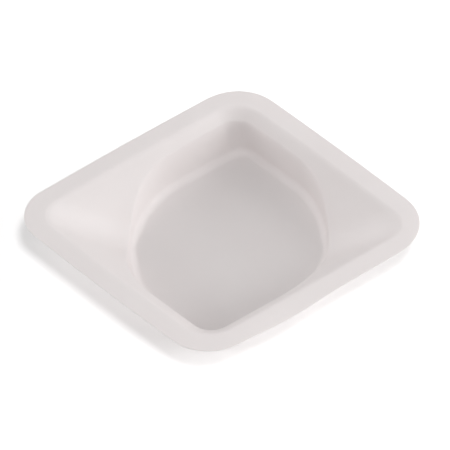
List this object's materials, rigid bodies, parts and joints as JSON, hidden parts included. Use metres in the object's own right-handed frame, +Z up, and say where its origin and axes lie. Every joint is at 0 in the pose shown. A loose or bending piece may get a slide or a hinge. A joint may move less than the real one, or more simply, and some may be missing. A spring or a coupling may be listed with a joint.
{
  "type": "weighing boat",
  "caption": "Diamond-shaped weighing boat of thin formed plastic, with a flat floor, a low steep wall, sloping faces above it and a V-shaped pouring chute at each tip.",
  "frame": {"origin": "centre of the floor's underside, on the surface the boat rests on", "axes": "+X along the length, towards one pouring tip; +Y across the width; +Z up, out of the well"},
  "size_m": [0.133, 0.102, 0.019],
  "materials": {
    "polystyrene": "satin"
  },
  "bodies": {
    "root": {"boat": "polystyrene"}
  },
  "joints": []
}
